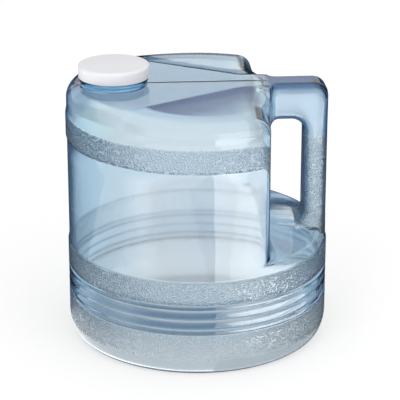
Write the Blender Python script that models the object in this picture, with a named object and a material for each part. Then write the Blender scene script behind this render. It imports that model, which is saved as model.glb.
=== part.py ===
"""Large round water jug in clear blue plastic, with a through handle and a screw cap set off centre.

Three pieces: the blow-moulded body, the screw cap and the sealing liner inside it.
The frame is in metres, +Z up, with the origin under the body's axis on the standing face.
The handle lies on +X and the neck on -X.
"""

import math
from collections import namedtuple

import bmesh
import bpy
from mathutils import Vector

# Body
BODY_RADIUS = 0.113
TOP_HEIGHT = 0.2265
WALL = 0.0020
SHOULDER_RADIUS = 0.0113
BASE_CORNER_WIDTH = 0.009
BASE_CORNER_HEIGHT = 0.020
STAND_WIDTH = 0.016
PUSH_UP = 0.006

# Grained bands and ribs round the wall
BAND_RELIEF = 0.0010
BAND_STEP = 0.0010
RIB_COUNT = 4
RIB_PITCH = 0.0068
RIB_DEPTH = 0.0016
RIB_FOOT = 0.038
MIDDLE_BAND_HEIGHT = 0.019
UPPER_BAND_FOOT = 0.183
UPPER_BAND_HEIGHT = 0.0185

# Pockets either side of the handle
POCKET_WALL_X = 0.0547
POCKET_FOOT = 0.0875
POCKET_EDGE = 0.008
POCKET_RISE = 0.003
POCKET_RIDGE = 0.006
POCKET_RIDGE_HALF = 0.055
POCKET_FILLET = 0.010
POCKET_EDGE_SHARE = 0.4
POCKET_TAPER = 0.15
CROWN_CORNER = 0.0035

# Handle
HANDLE_WIDTH = 0.034
HANDLE_EDGE = 0.008
HANDLE_FILLET = 0.008
GRIP_DEPTH = 0.0205
ARM_DEPTH = 0.032
FINGER_CORNER = 0.012

# Wedge-shaped crown that runs from the neck to the handle
CROWN_END_X = 0.040
CROWN_END_WIDTH = 0.018
CROWN_SPREAD = math.radians(32.0)
FACET_DROP = 0.0040
FACET_RUN = 0.034

# Neck
NECK_RADIUS = 0.0274
NECK_HEIGHT = 0.0144
NECK_FILLET = 0.0020
NECK_LEDGE = 0.0008
COLLAR_FOOT = 0.0024
COLLAR_HEIGHT = 0.0035
COLLAR_RELIEF = 0.0020

# Screw thread
THREAD_PITCH = 0.0042
THREAD_TURNS = 1.25
THREAD_DEPTH = 0.0011
THREAD_ROOT_WIDTH = 0.0020
THREAD_CREST_WIDTH = 0.0010
THREAD_FROM_RIM = 0.0016
THREAD_BED = 0.0007
THREAD_CLEARANCE = 0.0004

# Cap and liner
CAP_HEIGHT = 0.0110
CAP_WALL = 0.0016
CAP_EDGE = 0.0020
LINER_THICKNESS = 0.0010
SEAT_GAP = 0.0003

# Facets
WALL_STEPS = 4
CORNER_STEPS = 3
BACK_STEPS = 12
HALF_ACROSS = 3
DEEP = 6
ARC_STEPS = 3
CROWN_STEPS = 5
FAN_STEPS = 8
GRIP_STEPS = 4
TURN_STEPS = 40
BLEND_STEPS = 2

# Places worked out from the sizes above
NECK_X = -(BODY_RADIUS - SHOULDER_RADIUS - NECK_LEDGE - NECK_FILLET - NECK_RADIUS)
RIM_Z = TOP_HEIGHT + NECK_HEIGHT
LINER_Z = RIM_Z + SEAT_GAP
CAP_INNER_Z = LINER_Z + LINER_THICKNESS + SEAT_GAP
CAP_FOOT_Z = CAP_INNER_Z + CAP_WALL - CAP_HEIGHT
CAP_BORE = NECK_RADIUS + THREAD_DEPTH + THREAD_CLEARANCE
GRIP_X = BODY_RADIUS - GRIP_DEPTH
ARM_Z = TOP_HEIGHT - ARM_DEPTH
UPRIGHT_CORNER = SHOULDER_RADIUS + CROWN_CORNER
FLOOR_SLOPE = BODY_RADIUS - POCKET_WALL_X - POCKET_EDGE - POCKET_FILLET

Column = namedtuple("Column", "angle circle wall normal depth roundness")


def clear_scene():
    for obj in list(bpy.data.objects):
        bpy.data.objects.remove(obj, do_unlink=True)


def make_material(name, colour, roughness, transmission=0.0):
    material = bpy.data.materials.new(name)
    material.use_nodes = True
    shader = material.node_tree.nodes["Principled BSDF"]
    shader.inputs["Base Color"].default_value = (*colour, 1.0)
    shader.inputs["Roughness"].default_value = roughness
    shader.inputs["Metallic"].default_value = 0.0
    shader.inputs["Transmission Weight"].default_value = transmission
    return material


def make_object(name, bm, material=None):
    bmesh.ops.remove_doubles(bm, verts=bm.verts, dist=1e-6)
    mesh = bpy.data.meshes.new(name)
    bm.to_mesh(mesh)
    bm.free()
    mesh.shade_smooth()
    mesh.set_sharp_from_angle(angle=math.radians(40))
    if material:
        mesh.materials.append(material)
    obj = bpy.data.objects.new(name, mesh)
    bpy.context.scene.collection.objects.link(obj)
    return obj


def between(start, end, share):
    return start + (end - start) * share


def smooth_ramp(share):
    share = min(max(share, 0.0), 1.0)
    return share * share * (3 - 2 * share)


def add_sheet(bm, rows, columns, place):
    """A sheet of quads, with each corner where place(row, column) puts it. Returns its vertices by row."""
    vertices = bmesh.ops.create_grid(bm, x_segments=columns, y_segments=rows)["verts"]
    sheet = [vertices[row * (columns + 1):(row + 1) * (columns + 1)] for row in range(rows + 1)]
    for row, line in enumerate(sheet):
        for column, vertex in enumerate(line):
            vertex.co = place(row, column)
    return sheet


# Columns of the body, from the back round to the back again


def flat_column(y):
    angle = math.asin(y / BODY_RADIUS)
    circle = Vector((BODY_RADIUS * math.cos(angle), y))
    return Column(angle, circle, Vector((POCKET_WALL_X, y)), Vector((1, 0)), circle.x - POCKET_WALL_X, 0.0)


def half_columns():
    """Columns from the middle of the handle to the back of the body, on the +Y side."""
    joint = HANDLE_WIDTH / 2 + HANDLE_FILLET
    centre_x = POCKET_WALL_X - UPRIGHT_CORNER
    flat_end = math.sqrt((BODY_RADIUS - UPRIGHT_CORNER) ** 2 - centre_x ** 2)
    turn = math.atan2(flat_end, centre_x)
    columns = [flat_column(joint * i / HALF_ACROSS) for i in range(HALF_ACROSS + 1)]
    columns += [flat_column(between(joint, flat_end, i / WALL_STEPS)) for i in range(1, WALL_STEPS + 1)]
    first = columns[-1].angle
    for i in range(1, CORNER_STEPS + 1):
        share = i / CORNER_STEPS
        normal = Vector((math.cos(turn * share), math.sin(turn * share)))
        wall = Vector((centre_x, flat_end)) + normal * UPRIGHT_CORNER
        angle = between(first, turn, share)
        circle = Vector((math.cos(angle), math.sin(angle))) * BODY_RADIUS
        columns.append(Column(angle, circle, wall, normal, (circle - wall).length, share))
    for i in range(1, BACK_STEPS + 1):
        angle = between(turn, math.pi, i / BACK_STEPS)
        normal = Vector((math.cos(angle), math.sin(angle)))
        columns.append(Column(angle, normal * BODY_RADIUS, normal * BODY_RADIUS, normal, 0.0, 1.0))
    return columns


def mirrored(column):
    flip = Vector((1, -1))
    return Column(-column.angle, column.circle * flip, column.wall * flip, column.normal * flip,
                  column.depth, column.roundness)


def body_columns():
    half = half_columns()
    return [mirrored(column) for column in reversed(half[1:])] + half


# Rows of the body: each takes a column and gives the point where the two cross


def crown_height(x, y):
    """The crown is level in a wedge that narrows towards the handle, and falls away on either side."""
    edge = CROWN_END_WIDTH / 2 + max(0.0, CROWN_END_X - x) * math.tan(CROWN_SPREAD)
    return TOP_HEIGHT - FACET_DROP * smooth_ramp((abs(y) - edge) * math.cos(CROWN_SPREAD) / FACET_RUN)


def ring_point(column, radius, height):
    return Vector((radius * math.cos(column.angle), radius * math.sin(column.angle), height))


def floor_point(column, inward, above):
    """A point on the pocket floor, so far in from the round wall and above the slope's outer end.

    The floor has a low ridge under the finger gap and falls away from it on either side.
    """
    spot = column.circle
    if column.depth > 0:
        spot = spot.lerp(column.wall, inward / column.depth)
    ridge = POCKET_RIDGE * (1 - smooth_ramp(abs(spot.y) / POCKET_RIDGE_HALF)) * smooth_ramp(inward / POCKET_EDGE)
    return Vector((spot.x, spot.y, POCKET_FOOT + POCKET_EDGE + ridge + above))


def floor_runs(column):
    """How far the pocket floor's rounded outer edge, its slope and its inner fillet each reach inwards."""
    edge = min(POCKET_EDGE, POCKET_EDGE_SHARE * column.depth)
    fillet = min(POCKET_FILLET, POCKET_EDGE_SHARE * column.depth)
    return edge, column.depth - edge - fillet, fillet


def floor_rise(column):
    _, slope, _ = floor_runs(column)
    return POCKET_RISE * max(POCKET_TAPER, slope / FLOOR_SLOPE)


def floor_edge_point(column, turn):
    edge, _, _ = floor_runs(column)
    drop = max(edge, POCKET_TAPER * POCKET_EDGE)
    return floor_point(column, edge * (1 - math.cos(turn)), -drop * (1 - math.sin(turn)))


def floor_slope_point(column, share):
    edge, slope, _ = floor_runs(column)
    return floor_point(column, edge + slope * share, floor_rise(column) * share)


def floor_fillet_point(column, turn):
    _, _, fillet = floor_runs(column)
    lift = max(fillet, POCKET_TAPER * POCKET_FILLET)
    above = floor_rise(column) + lift * (1 - math.cos(turn))
    return floor_point(column, column.depth - fillet * (1 - math.sin(turn)), above)


def shoulder_point(column, turn):
    top = column.wall - column.normal * SHOULDER_RADIUS
    spot = column.wall - column.normal * SHOULDER_RADIUS * (1 - math.cos(turn))
    height = crown_height(top.x, top.y) - SHOULDER_RADIUS * (1 - math.sin(turn))
    return Vector((spot.x, spot.y, height))


def wall_point(column, flat_height, round_height, relief):
    spot = column.wall + column.normal * relief * column.roundness
    return Vector((spot.x, spot.y, between(flat_height, round_height, column.roundness)))


def arm_wall_point(column, share, round_height, relief):
    """The wall between the handle's arm and the shoulder."""
    foot = ARM_Z - HANDLE_FILLET
    flat_height = between(foot, shoulder_point(column, 0.0).z, share)
    return wall_point(column, flat_height, round_height, relief)


def neck_point(column, radius, height):
    spot = column.wall - column.normal * SHOULDER_RADIUS
    outward = (spot - Vector((NECK_X, 0))).normalized() * radius
    return Vector((NECK_X + outward.x, outward.y, height))


def crown_point(column, share):
    foot = neck_point(column, NECK_RADIUS + NECK_FILLET, TOP_HEIGHT)
    point = shoulder_point(column, math.pi / 2).lerp(foot, share)
    point.z = crown_height(point.x, point.y)
    return point


def arc(steps):
    return [math.pi / 2 * i / steps for i in range(steps + 1)]


def base_rows():
    stand_outer = BODY_RADIUS - BASE_CORNER_WIDTH
    rows = [(ring_point, 0.0, PUSH_UP), (ring_point, stand_outer - STAND_WIDTH, 0.0)]
    for turn in arc(ARC_STEPS):
        radius = stand_outer + (BASE_CORNER_WIDTH + BAND_RELIEF) * math.sin(turn)
        rows.append((ring_point, radius, BASE_CORNER_HEIGHT * (1 - math.cos(turn))))
    return rows


def rib_rows():
    crest = BODY_RADIUS + BAND_RELIEF
    rows = [(ring_point, crest, RIB_FOOT - BAND_STEP)]
    for i in range(2 * RIB_COUNT + 1):
        rows.append((ring_point, crest - RIB_DEPTH * ((i + 1) % 2), RIB_FOOT + RIB_PITCH * i / 2))
    band_foot = RIB_FOOT + RIB_PITCH * RIB_COUNT + BAND_STEP
    rows.append((ring_point, crest, band_foot))
    rows.append((ring_point, crest, band_foot + MIDDLE_BAND_HEIGHT))
    rows.append((ring_point, BODY_RADIUS, band_foot + MIDDLE_BAND_HEIGHT + BAND_STEP))
    return rows


def pocket_floor_rows():
    rows = [(floor_edge_point, turn) for turn in arc(BLEND_STEPS)]
    foot_share = (GRIP_DEPTH + HANDLE_FILLET - POCKET_EDGE) / FLOOR_SLOPE
    foot_steps = DEEP - BLEND_STEPS
    rows += [(floor_slope_point, foot_share * i / foot_steps) for i in range(1, foot_steps + 1)]
    rows += [(floor_fillet_point, turn) for turn in arc(BLEND_STEPS)]
    return rows


def upper_wall_rows():
    foot = POCKET_FOOT + POCKET_EDGE + POCKET_RIDGE + POCKET_RISE + POCKET_FILLET
    arm = ARM_Z - HANDLE_FILLET
    band_top = UPPER_BAND_FOOT + UPPER_BAND_HEIGHT
    return [
        (wall_point, between(foot, arm, 1 / 3), UPPER_BAND_FOOT - BAND_STEP, 0.0),
        (wall_point, between(foot, arm, 2 / 3), UPPER_BAND_FOOT, BAND_RELIEF),
        (arm_wall_point, 0.0, UPPER_BAND_FOOT + UPPER_BAND_HEIGHT / 2, BAND_RELIEF),
        (arm_wall_point, 1 / 3, band_top, BAND_RELIEF),
        (arm_wall_point, 2 / 3, band_top + BAND_STEP, 0.0),
    ]


def crown_rows():
    rows = [(shoulder_point, turn) for turn in arc(ARC_STEPS)]
    rows += [(crown_point, i / CROWN_STEPS) for i in range(1, CROWN_STEPS + 1)]
    return rows


def neck_rows():
    rows = []
    for turn in arc(BLEND_STEPS)[1:]:
        radius = NECK_RADIUS + NECK_FILLET * (1 - math.sin(turn))
        rows.append((neck_point, radius, TOP_HEIGHT + NECK_FILLET * (1 - math.cos(turn))))
    foot = TOP_HEIGHT + COLLAR_FOOT
    for share, relief in ((0, 0), (0.25, 1), (0.75, 1), (1, 0)):
        rows.append((neck_point, NECK_RADIUS + COLLAR_RELIEF * relief, foot + COLLAR_HEIGHT * share))
    rows.append((neck_point, NECK_RADIUS, RIM_Z))
    return rows


# Handle: a tube from the upper wall, out along the arm and down the grip to the pocket floor


def handle_stations():
    """Steps round the handle's section: how far across, and how deep from its outer side."""
    side = HALF_ACROSS
    stations = [(i, 0) for i in range(-side, side)]
    stations += [(side, k) for k in range(DEEP)]
    stations += [(i, DEEP) for i in range(side, -side, -1)]
    stations += [(-side, k) for k in range(DEEP, 0, -1)]
    return stations


def section_point(station, outer, inner, half_width, sag_share):
    """A point on a rounded section that reaches from outer to inner in the XZ plane."""
    depth = (inner - outer).length
    edge = min(HANDLE_EDGE, depth * 0.45)
    across = half_width * station[0] / HALF_ACROSS
    deep = depth * station[1] / DEEP
    core = Vector((
        min(max(across, edge - half_width), half_width - edge),
        min(max(deep, edge), depth - edge),
    ))
    spot = core + (Vector((across, deep)) - core).normalized() * edge
    middle = outer.lerp(inner, spot.y / depth)
    sag = BODY_RADIUS - math.sqrt(BODY_RADIUS ** 2 - spot.x ** 2)
    return Vector((middle.x - sag * sag_share * (1 - spot.y / depth), spot.x, middle.y))


def reach_to_corner(pivot, turn):
    """Where a ray from the pivot meets the arm's top, the grip's outer side or the rounded corner."""
    ray = Vector((math.cos(turn), math.sin(turn)))
    far = 10 * BODY_RADIUS
    along_x = (BODY_RADIUS - pivot.x) / ray.x if ray.x > 1e-6 else far
    along_z = (TOP_HEIGHT - pivot.y) / ray.y if ray.y > 1e-6 else far
    centre = Vector((BODY_RADIUS - SHOULDER_RADIUS, TOP_HEIGHT - SHOULDER_RADIUS)) - pivot
    hit = ray * min(along_x, along_z)
    if hit.x > centre.x and hit.y > centre.y:
        ahead = ray.dot(centre)
        hit = ray * (ahead + math.sqrt(ahead ** 2 - centre.length_squared + SHOULDER_RADIUS ** 2))
    return pivot + hit


def handle_sections():
    """Sections of the handle from the body's wall to the pocket floor, as section_point takes them."""
    half = HANDLE_WIDTH / 2
    sections = []
    turns = [math.pi / 2 * i / ARC_STEPS for i in range(1, ARC_STEPS + 1)]
    for turn in turns:
        flare = HANDLE_FILLET * (1 - math.sin(turn))
        x = POCKET_WALL_X + HANDLE_FILLET * (1 - math.cos(turn))
        sections.append((Vector((x, TOP_HEIGHT)), Vector((x, ARM_Z - flare)), half + flare, 0.0))
    pivot = Vector((GRIP_X - FINGER_CORNER, ARM_Z - FINGER_CORNER))
    for i in range(FAN_STEPS + 1):
        turn = math.pi / 2 * (1 - i / FAN_STEPS)
        inner = pivot + Vector((math.cos(turn), math.sin(turn))) * FINGER_CORNER
        sections.append((reach_to_corner(pivot, turn), inner, half, math.cos(turn)))
    floor = floor_slope_point(flat_column(0.0), (GRIP_DEPTH - POCKET_EDGE) / FLOOR_SLOPE).z
    for i in range(1, GRIP_STEPS):
        z = between(pivot.y, floor + HANDLE_FILLET, i / GRIP_STEPS)
        sections.append((Vector((BODY_RADIUS, z)), Vector((GRIP_X, z)), half, 1.0))
    for step, turn in enumerate(reversed(turns)):
        flare = HANDLE_FILLET * (1 - math.sin(turn))
        z = floor + HANDLE_FILLET * (1 - math.cos(turn))
        outer_z = between(floor + HANDLE_FILLET, POCKET_FOOT, step / ARC_STEPS)
        sections.append((Vector((BODY_RADIUS, outer_z)), Vector((GRIP_X - flare, z)), half + flare, 1.0))
    return sections


def thread_ridge(name, root, crest, foot, start, turns):
    """A ridge of trapezium section along a right-hand helix, from the start angle up, sunk past its root."""
    outward = 1 if crest > root else -1
    bed = root - outward * THREAD_BED
    steps = round(TURN_STEPS * turns)
    lead = TURN_STEPS // 8
    half_root = THREAD_ROOT_WIDTH / 2
    half_crest = THREAD_CREST_WIDTH / 2

    def place(row, column):
        angle = start + 2 * math.pi * turns * row / steps
        height = foot + THREAD_PITCH * turns * row / steps
        rise = min(1.0, row / lead, (steps - row) / lead)
        top = between(root - outward * THREAD_BED / 2, crest, rise)
        corners = ((bed, -half_root), (top, -half_crest), (top, half_crest), (bed, half_root))
        radius, offset = corners[column % len(corners)]
        return Vector((radius * math.cos(angle), radius * math.sin(angle), height + offset))

    bm = bmesh.new()
    add_sheet(bm, steps, 4, place)
    bmesh.ops.remove_doubles(bm, verts=bm.verts, dist=1e-6)
    bmesh.ops.holes_fill(bm, edges=bm.edges)
    bmesh.ops.recalc_face_normals(bm, faces=bm.faces)
    ridge = make_object(name, bm)
    ridge.hide_render = True
    ridge.display_type = "WIRE"
    return ridge


def join_ridge(obj, ridge):
    union = obj.modifiers.new("thread", "BOOLEAN")
    union.operation = "UNION"
    union.solver = "EXACT"
    union.object = ridge


def engaged_width():
    """Sum of the two ridges' half widths, which is the same at every radius where they overlap."""
    slope = (THREAD_ROOT_WIDTH - THREAD_CREST_WIDTH) / THREAD_DEPTH
    return THREAD_ROOT_WIDTH - slope * (CAP_BORE - NECK_RADIUS) / 2


def make_body(material):
    columns = body_columns()
    rows = base_rows() + rib_rows()
    foot_row = len(rows)
    rows += pocket_floor_rows() + upper_wall_rows()
    rows += crown_rows()
    arm_row = len(rows) - CROWN_STEPS - 1
    rows += neck_rows()

    def place(row, column):
        maker, *sizes = rows[row]
        return maker(columns[column], *sizes)

    bm = bmesh.new()
    sheet = add_sheet(bm, len(rows) - 1, len(columns) - 1, place)
    middle = len(columns) // 2
    arm_patch = [[(arm_row - k, middle + i) for i in range(-HALF_ACROSS, HALF_ACROSS + 1)]
                 for k in range(DEEP + 1)]
    foot_patch = [[(foot_row + k, middle + i) for i in range(-HALF_ACROSS, HALF_ACROSS + 1)]
                  for k in range(DEEP + 1)]
    for patch in (arm_patch, foot_patch):
        inside = {sheet[row][column] for line in patch for row, column in line}
        faces = [face for face in bm.faces if inside.issuperset(face.verts)]
        bmesh.ops.delete(bm, geom=faces, context="FACES")

    sections = handle_sections()
    stations = handle_stations()

    def place_handle(row, column):
        station = stations[column % len(stations)]
        if row == 0:
            return place(*arm_patch[station[1]][station[0] + HALF_ACROSS])
        if row > len(sections):
            return place(*foot_patch[station[1]][station[0] + HALF_ACROSS])
        return section_point(station, *sections[row - 1])

    add_sheet(bm, len(sections) + 1, len(stations), place_handle)
    bmesh.ops.remove_doubles(bm, verts=bm.verts, dist=1e-6)
    bmesh.ops.recalc_face_normals(bm, faces=bm.faces)
    body = make_object("jug_body", bm, material)
    shell = body.modifiers.new("wall", "SOLIDIFY")
    shell.thickness = WALL
    shell.offset = -1
    shell.use_even_offset = True
    shell.use_quality_normals = True

    foot = RIM_Z - THREAD_FROM_RIM - THREAD_PITCH * THREAD_TURNS
    ridge = thread_ridge("neck_thread", NECK_RADIUS, NECK_RADIUS + THREAD_DEPTH, foot, 0.0, THREAD_TURNS)
    ridge.location.x = NECK_X
    join_ridge(body, ridge)
    return body


def turned(name, profile, material):
    """A solid turned about Z from a profile of (radius, height) that starts and ends on the axis."""
    bm = bmesh.new()
    points = [bm.verts.new((radius, 0, height)) for radius, height in profile]
    edges = [bm.edges.new(pair) for pair in zip(points, points[1:])]
    bmesh.ops.spin(bm, geom=points + edges, cent=(0, 0, 0), axis=(0, 0, 1),
                   angle=2 * math.pi, steps=TURN_STEPS, use_merge=True)
    bmesh.ops.remove_doubles(bm, verts=bm.verts, dist=1e-6)
    bmesh.ops.recalc_face_normals(bm, faces=bm.faces)
    return make_object(name, bm, material)


def make_cap(material):
    """The cap's own zero height is its skirt's foot."""
    outer = CAP_BORE + CAP_WALL
    inner_top = CAP_HEIGHT - CAP_WALL
    profile = [(0.0, CAP_HEIGHT)]
    for turn in reversed(arc(ARC_STEPS)):
        profile.append((outer - CAP_EDGE * (1 - math.cos(turn)), CAP_HEIGHT - CAP_EDGE * (1 - math.sin(turn))))
    profile += [(outer, 0.0), (CAP_BORE, 0.0), (CAP_BORE, inner_top), (0.0, inner_top)]
    cap = turned("screw_cap", profile, material)
    cap.location = (NECK_X, 0, CAP_FOOT_Z)

    neck_foot = RIM_Z - THREAD_FROM_RIM - THREAD_PITCH * THREAD_TURNS - CAP_FOOT_Z
    helix_foot = neck_foot - engaged_width() - THREAD_CLEARANCE
    foot = THREAD_ROOT_WIDTH / 2 + THREAD_CLEARANCE
    start = 2 * math.pi * (foot - helix_foot) / THREAD_PITCH
    ridge = thread_ridge("cap_thread", CAP_BORE, CAP_BORE - THREAD_DEPTH, foot, start, THREAD_TURNS)
    ridge.parent = cap
    join_ridge(cap, ridge)
    return cap


def make_liner(material):
    radius = CAP_BORE - THREAD_CLEARANCE
    profile = [(0.0, LINER_THICKNESS), (radius, LINER_THICKNESS), (radius, 0.0), (0.0, 0.0)]
    liner = turned("cap_liner", profile, material)
    liner.location = (NECK_X, 0, LINER_Z)
    return liner


def main():
    clear_scene()
    make_body(make_material("clear_blue_plastic", (0.45, 0.68, 0.88), 0.05, 0.9))
    make_cap(make_material("white_plastic", (0.84, 0.84, 0.86), 0.35))
    make_liner(make_material("white_foam", (0.90, 0.90, 0.88), 0.80))


main()
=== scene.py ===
import math
from functools import partial

import bmesh
import bpy
from mathutils import Euler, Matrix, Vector


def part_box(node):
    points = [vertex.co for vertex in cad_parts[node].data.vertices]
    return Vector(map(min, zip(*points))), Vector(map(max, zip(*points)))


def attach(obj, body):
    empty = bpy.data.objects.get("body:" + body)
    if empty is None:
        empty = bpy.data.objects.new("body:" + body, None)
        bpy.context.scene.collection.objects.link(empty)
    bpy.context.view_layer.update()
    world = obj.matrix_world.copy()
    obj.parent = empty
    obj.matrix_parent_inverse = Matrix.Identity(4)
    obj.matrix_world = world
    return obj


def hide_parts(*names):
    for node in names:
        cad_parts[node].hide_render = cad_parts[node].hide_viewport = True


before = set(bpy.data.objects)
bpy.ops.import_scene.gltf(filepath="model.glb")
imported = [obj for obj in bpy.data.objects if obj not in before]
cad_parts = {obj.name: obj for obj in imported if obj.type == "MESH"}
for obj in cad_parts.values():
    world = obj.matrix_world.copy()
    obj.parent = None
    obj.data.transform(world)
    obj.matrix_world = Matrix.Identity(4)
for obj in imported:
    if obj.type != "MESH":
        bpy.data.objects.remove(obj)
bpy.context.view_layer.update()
print("frame loaded:", ", ".join(sorted(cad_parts)))

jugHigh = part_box("jug_body")[1]
capLow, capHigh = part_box("screw_cap")
linerLow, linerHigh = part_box("cap_liner")
neckX = (capLow.x + capHigh.x) / 2


# small helpers

tiny = 1e-6   # what counts as nothing, in metres or as a share


def mix(start, end, share):
    return start + (end - start) * share


def ease(share):
    share = min(max(share, 0.0), 1.0)
    return share * share * (3 - 2 * share)


def risesFrom(value, start, run):
    return ease((value - start) / run)


def fadesAt(value, end, run):
    return ease((end - value) / run)


def beadShape(share, squareness):
    return 1 - abs(2 * share - 1) ** squareness


def quarter(steps):
    return [math.pi / 2 * i / steps for i in range(steps + 1)]


def addSheet(bm, rows, columns, place):
    # a flat grid whose vertices are then put where place(row, column) says
    verts = bmesh.ops.create_grid(bm, x_segments=columns, y_segments=rows)["verts"]
    lines = [verts[r * (columns + 1):(r + 1) * (columns + 1)] for r in range(rows + 1)]
    for r, line in enumerate(lines):
        for c, vert in enumerate(line):
            vert.co = place(r, c)
    return lines


def finishMesh(name, bm, material, body, node):
    mesh = bpy.data.meshes.new(name)
    bm.to_mesh(mesh)
    bm.free()
    mesh.shade_smooth()
    mesh.materials.append(material)
    piece = bpy.data.objects.new(name, mesh)
    bpy.context.scene.collection.objects.link(piece)
    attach(piece, body)
    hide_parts(node)
    print(name, "made:", len(mesh.polygons), "faces")
    return piece


# shader helpers, and the pebbles and the moulded skin as node groups

def addNode(tree, kind, **values):
    node = tree.nodes.new(kind)
    for name, value in values.items():
        setattr(node, name, value)
    return node


def feed(tree, node, name, source):
    # a number or colour goes on the socket itself, an output is linked to it
    if isinstance(source, bpy.types.NodeSocket):
        tree.links.new(source, node.inputs[name])
    else:
        node.inputs[name].default_value = source


def reckon(tree, kind, first, second):
    node = addNode(tree, "ShaderNodeMath", operation=kind)
    for index, source in enumerate((first, second)):
        feed(tree, node, index, source)
    return node.outputs[0]


def newGroup(name, inputs, outputs):
    tree = bpy.data.node_groups.new(name, "ShaderNodeTree")
    for label, kind in inputs:
        tree.interface.new_socket(label, in_out="INPUT", socket_type=kind)
    for label, kind in outputs:
        tree.interface.new_socket(label, in_out="OUTPUT", socket_type=kind)
    return tree, addNode(tree, "NodeGroupInput"), addNode(tree, "NodeGroupOutput")


pebbleShape = {
    "wander": 0.0005,   # metres by which a pebble strays from its round shape
    "edgeShare": 0.70, "topShare": 0.20,   # of a cell's width, from its middle
}


def makePebbleGroup():
    # close-set pebbles, as on a leather-grained mould
    tree, start, end = newGroup(
        "pebbleGrain",
        [("Place", "NodeSocketVector"), ("Per Metre", "NodeSocketFloat"), ("Mask", "NodeSocketFloat")],
        [("Height", "NodeSocketFloat"), ("Groove", "NodeSocketFloat")])
    wander = addNode(tree, "ShaderNodeTexNoise")
    feed(tree, wander, "Vector", start.outputs["Place"])
    feed(tree, wander, "Scale", start.outputs["Per Metre"])
    shift = addNode(tree, "ShaderNodeVectorMath", operation="MULTIPLY_ADD")
    feed(tree, shift, 0, wander.outputs["Color"])
    feed(tree, shift, 1, [pebbleShape["wander"]] * 3)
    feed(tree, shift, 2, start.outputs["Place"])
    cells = addNode(tree, "ShaderNodeTexVoronoi", feature="F1")
    feed(tree, cells, "Vector", shift.outputs["Vector"])
    feed(tree, cells, "Scale", start.outputs["Per Metre"])
    dome = addNode(tree, "ShaderNodeMapRange", interpolation_type="SMOOTHSTEP")
    feed(tree, dome, "Value", cells.outputs["Distance"])
    feed(tree, dome, "From Min", pebbleShape["edgeShare"])
    feed(tree, dome, "From Max", pebbleShape["topShare"])
    height = reckon(tree, "MULTIPLY", dome.outputs["Result"], start.outputs["Mask"])
    feed(tree, end, "Height", height)
    feed(tree, end, "Groove", reckon(tree, "SUBTRACT", start.outputs["Mask"], height))
    return tree


def makeMouldGroup():
    # the slight unevenness of moulded plastic: slow waves and a fine tooth
    tree, start, end = newGroup(
        "mouldSkin",
        [("Place", "NodeSocketVector"), ("Waves Per Metre", "NodeSocketFloat"),
         ("Tooth Per Metre", "NodeSocketFloat"), ("Tooth Share", "NodeSocketFloat")],
        [("Height", "NodeSocketFloat"), ("Patch", "NodeSocketFloat")])
    waves = addNode(tree, "ShaderNodeTexNoise")
    feed(tree, waves, "Vector", start.outputs["Place"])
    feed(tree, waves, "Scale", start.outputs["Waves Per Metre"])
    feed(tree, waves, "Detail", 1.0)
    tooth = addNode(tree, "ShaderNodeTexNoise")
    feed(tree, tooth, "Vector", start.outputs["Place"])
    feed(tree, tooth, "Scale", start.outputs["Tooth Per Metre"])
    fine = reckon(tree, "MULTIPLY", tooth.outputs["Fac"], start.outputs["Tooth Share"])
    feed(tree, end, "Height", reckon(tree, "ADD", waves.outputs["Fac"], fine))
    feed(tree, end, "Patch", waves.outputs["Fac"])
    return tree


pebbleGroup = makePebbleGroup()
mouldGroup = makeMouldGroup()


def useGroup(tree, group, sources):
    node = addNode(tree, "ShaderNodeGroup", node_tree=group)
    for name, source in sources.items():
        feed(tree, node, name, source)
    return node


def newMaterial(name):
    material = bpy.data.materials.new(name)
    material.use_nodes = True
    return material, material.node_tree.nodes["Principled BSDF"]


def objectPlace(tree):
    return addNode(tree, "ShaderNodeTexCoord").outputs["Object"]


def setRamp(ramp, stops):
    while len(ramp.elements) < len(stops):
        ramp.elements.new(1.0)
    for element, (position, colour) in zip(ramp.elements, stops):
        element.position = position
        element.color = colour


# clear blue plastic

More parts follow.
